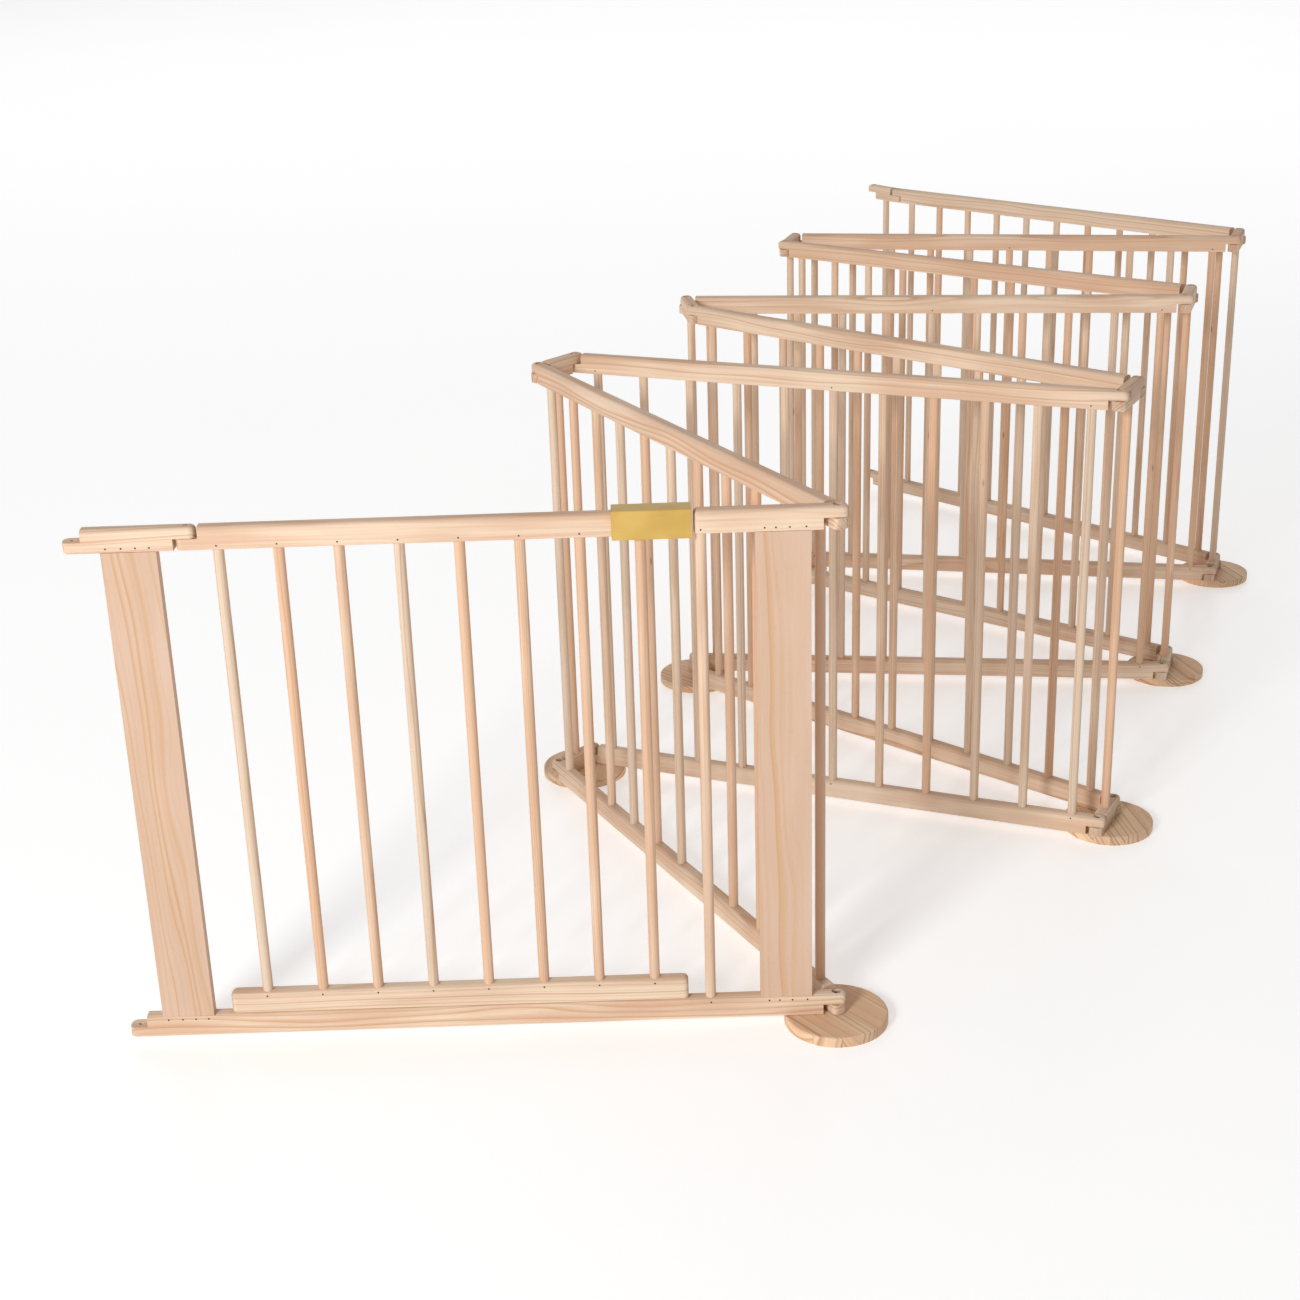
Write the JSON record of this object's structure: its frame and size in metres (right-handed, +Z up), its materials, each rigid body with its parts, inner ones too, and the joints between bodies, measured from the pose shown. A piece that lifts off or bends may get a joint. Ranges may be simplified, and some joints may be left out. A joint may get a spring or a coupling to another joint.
{
  "type": "folding wooden playpen",
  "caption": "Freestanding wooden playpen of barred panels that fold on short one-bar links, with a swinging gate and a sliding latch.",
  "frame": {"origin": "on the floor, under the bolt that joins the gate panel to the second panel", "axes": "+X along the gate panel from its free end to that bolt, +Y away from the gate panel towards the other panels, +Z up"},
  "size_m": [1.8618, 2.3366, 0.6909],
  "materials": {
    "rail_pine": "sanded, unvarnished",
    "link_pine": "sanded, unvarnished",
    "bar_pine": "turned and sanded, unvarnished",
    "board_pine": "planed and sanded, unvarnished",
    "foot_pine": "edge-glued board, sanded",
    "steel": "dull zinc",
    "latch_plastic": "satin moulded"
  },
  "bodies": {
    "gate_panel": {"gate_panel_bottom_rail": "rail_pine", "gate_panel_hinge_rail": "rail_pine", "gate_panel_latch_rail": "rail_pine", "gate_panel_left_stile": "board_pine", "gate_panel_right_stile": "board_pine", "gate_panel_bar": "bar_pine", "gate_pins": "steel", "foot_a": "foot_pine"},
    "gate_leaf": {"gate_top_rail": "rail_pine", "gate_bottom_rail": "rail_pine", "gate_bars": "bar_pine"},
    "latch": {"latch_sleeve": "latch_plastic"},
    "panel_2": {"panel_2_top_rail": "rail_pine", "panel_2_bottom_rail": "rail_pine", "panel_2_bars": "bar_pine", "panel_2_bolts": "steel"},
    "link_b": {"link_b_rails": "link_pine", "link_b_bar": "bar_pine", "foot_b": "foot_pine"},
    "panel_3": {"panel_3_top_rail": "rail_pine", "panel_3_bottom_rail": "rail_pine", "panel_3_bars": "bar_pine", "panel_3_bolts": "steel"},
    "link_c": {"link_c_rails": "link_pine", "link_c_bar": "bar_pine", "foot_c": "foot_pine"},
    "panel_4": {"panel_4_top_rail": "rail_pine", "panel_4_bottom_rail": "rail_pine", "panel_4_bars": "bar_pine", "panel_4_bolts": "steel"},
    "link_d": {"link_d_rails": "link_pine", "link_d_bar": "bar_pine", "foot_d": "foot_pine"},
    "panel_5": {"panel_5_top_rail": "rail_pine", "panel_5_bottom_rail": "rail_pine", "panel_5_bars": "bar_pine", "panel_5_bolts": "steel"},
    "link_e": {"link_e_rails": "link_pine", "link_e_bar": "bar_pine", "foot_e": "foot_pine"},
    "panel_6": {"panel_6_top_rail": "rail_pine", "panel_6_bottom_rail": "rail_pine", "panel_6_bars": "bar_pine", "panel_6_bolts": "steel"},
    "link_f": {"link_f_rails": "link_pine", "link_f_bar": "bar_pine", "foot_f": "foot_pine"},
    "panel_7": {"panel_7_top_rail": "rail_pine", "panel_7_bottom_rail": "rail_pine", "panel_7_bars": "bar_pine", "panel_7_bolts": "steel"},
    "link_g": {"link_g_rails": "link_pine", "link_g_bar": "bar_pine", "foot_g": "foot_pine"},
    "panel_8": {"panel_8_top_rail": "rail_pine", "panel_8_bottom_rail": "rail_pine", "panel_8_bars": "bar_pine", "panel_8_bolts": "steel"},
    "link_h": {"link_h_rails": "link_pine", "link_h_bar": "bar_pine"}
  },
  "joints": [
    {"name": "fold", "type": "hinge", "parent": "panel_4", "child": "link_d", "pos_m": [-0.1294, 1.08856, 0.6729], "axis": [0, 0, -1], "range_deg": [-22.5, 40]},
    {"name": "hinge_b_near", "type": "hinge", "parent": "link_b", "child": "panel_2", "pos_m": [-0.37046, 0.72706, 0.6729], "axis": [0, 0, 1], "range_deg": [-11.05, 19.61]},
    {"name": "hinge_b_far", "type": "hinge", "parent": "panel_3", "child": "link_b", "pos_m": [-0.3206, 0.78442, 0.6729], "axis": [0, 0, 1], "range_deg": [-9.05, 16.05]},
    {"name": "hinge_c_near", "type": "hinge", "parent": "link_c", "child": "panel_3", "pos_m": [0.43054, 0.46558, 0.6729], "axis": [0, 0, 1], "range_deg": [-5.38, 3.05]},
    {"name": "hinge_c_far", "type": "hinge", "parent": "panel_4", "child": "link_c", "pos_m": [0.46738, 0.53205, 0.6729], "axis": [0, 0, 1], "range_deg": [-12.49, 7.05]},
    {"name": "hinge_d_far", "type": "hinge", "parent": "link_d", "child": "panel_5", "pos_m": [-0.13998, 1.16383, 0.6729], "axis": [0, 0, 1], "range_deg": [-5.05, 8.94]},
    {"name": "hinge_e_near", "type": "hinge", "parent": "panel_5", "child": "link_e", "pos_m": [0.66808, 1.05026, 0.6729], "axis": [0, 0, 1], "range_deg": [-6.05, 10.72]},
    {"name": "hinge_e_far", "type": "hinge", "parent": "link_e", "child": "panel_6", "pos_m": [0.69407, 1.12168, 0.6729], "axis": [0, 0, 1], "range_deg": [-9.55, 16.94]},
    {"name": "hinge_f_near", "type": "hinge", "parent": "panel_6", "child": "link_f", "pos_m": [0.05992, 1.6352, 0.6729], "axis": [0, 0, 1], "range_deg": [-18.72, 10.55]},
    {"name": "hinge_f_far", "type": "hinge", "parent": "link_f", "child": "panel_7", "pos_m": [0.08341, 1.70748, 0.6729], "axis": [0, 0, 1], "range_deg": [-5.38, 3.05]},
    {"name": "hinge_g_near", "type": "hinge", "parent": "panel_7", "child": "link_g", "pos_m": [0.88157, 1.53783, 0.6729], "axis": [0, 0, 1], "range_deg": [-5.05, 8.94]},
    {"name": "hinge_g_far", "type": "hinge", "parent": "link_g", "child": "panel_8", "pos_m": [0.91004, 1.60829, 0.6729], "axis": [0, 0, 1], "range_deg": [-12.05, 21.38]},
    {"name": "hinge_h", "type": "hinge", "parent": "panel_8", "child": "link_h", "pos_m": [0.3432, 2.19527, 0.6729], "axis": [0, 0, 1], "range_deg": [-53.38, 30.05]},
    {"name": "gate_panel_hinge", "type": "hinge", "parent": "panel_2", "child": "gate_panel", "pos_m": [0, 0, 0.6729], "axis": [0, 0, 1], "range_deg": [0, 117]},
    {"name": "gate_hinge", "type": "hinge", "parent": "gate_panel", "child": "gate_leaf", "pos_m": [-0.75, 0, 0.6729], "axis": [0, 0, 1], "range_deg": [-95, 95]},
    {"name": "latch_slide", "type": "slide", "parent": "gate_leaf", "child": "latch", "axis": [1, 0, 0], "range_m": [0, 0.026]}
  ],
  "couplings": [
    {"joint": "hinge_b_near", "follows": "fold", "ratio": 0.48889},
    {"joint": "hinge_b_far", "follows": "fold", "ratio": 0.4},
    {"joint": "hinge_c_near", "follows": "fold", "ratio": -0.13333},
    {"joint": "hinge_c_far", "follows": "fold", "ratio": -0.31111},
    {"joint": "hinge_d_far", "follows": "fold", "ratio": 0.22222},
    {"joint": "hinge_e_near", "follows": "fold", "ratio": 0.26667},
    {"joint": "hinge_e_far", "follows": "fold", "ratio": 0.42222},
    {"joint": "hinge_f_near", "follows": "fold", "ratio": -0.46667},
    {"joint": "hinge_f_far", "follows": "fold", "ratio": -0.13333},
    {"joint": "hinge_g_near", "follows": "fold", "ratio": 0.22222},
    {"joint": "hinge_g_far", "follows": "fold", "ratio": 0.53333},
    {"joint": "hinge_h", "follows": "fold", "ratio": -1.3333}
  ]
}
